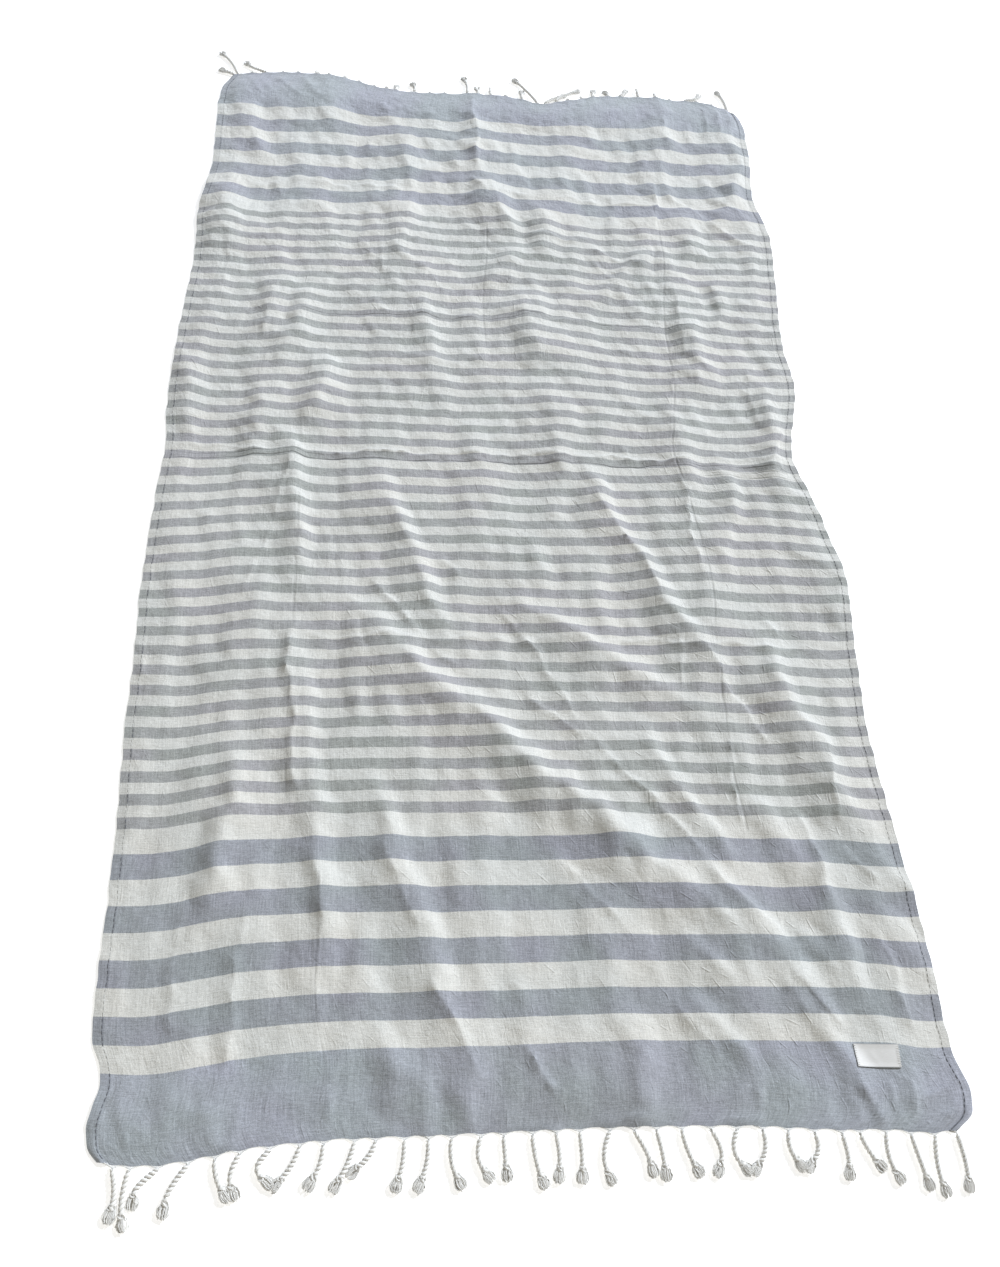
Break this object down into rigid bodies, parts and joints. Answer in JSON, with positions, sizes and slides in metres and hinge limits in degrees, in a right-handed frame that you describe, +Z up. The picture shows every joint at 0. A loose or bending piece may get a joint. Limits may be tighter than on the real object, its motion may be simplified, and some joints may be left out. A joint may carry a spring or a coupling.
{
  "type": "striped hammam towel",
  "caption": "Flat-woven striped cotton towel laid out with soft storage folds, knotted tassel fringes on both short ends and a small blank sewn label.",
  "frame": {"origin": "middle of the towel's box, on the surface it lies on", "axes": "+Y along the towel's length, from the labelled end to the plain end; +X across its width; +Z up"},
  "size_m": [0.9934, 1.9246, 0.0165],
  "materials": {
    "cloth": "matte, flat-woven, blue-grey and off-white stripes",
    "fringe": "matte, twisted off-white yarn",
    "label": "matte, smooth woven tape, blank"
  },
  "bodies": {
    "root": {"cloth": "cloth", "fringe_near": "fringe", "fringe_far": "fringe", "label": "label"}
  },
  "joints": []
}
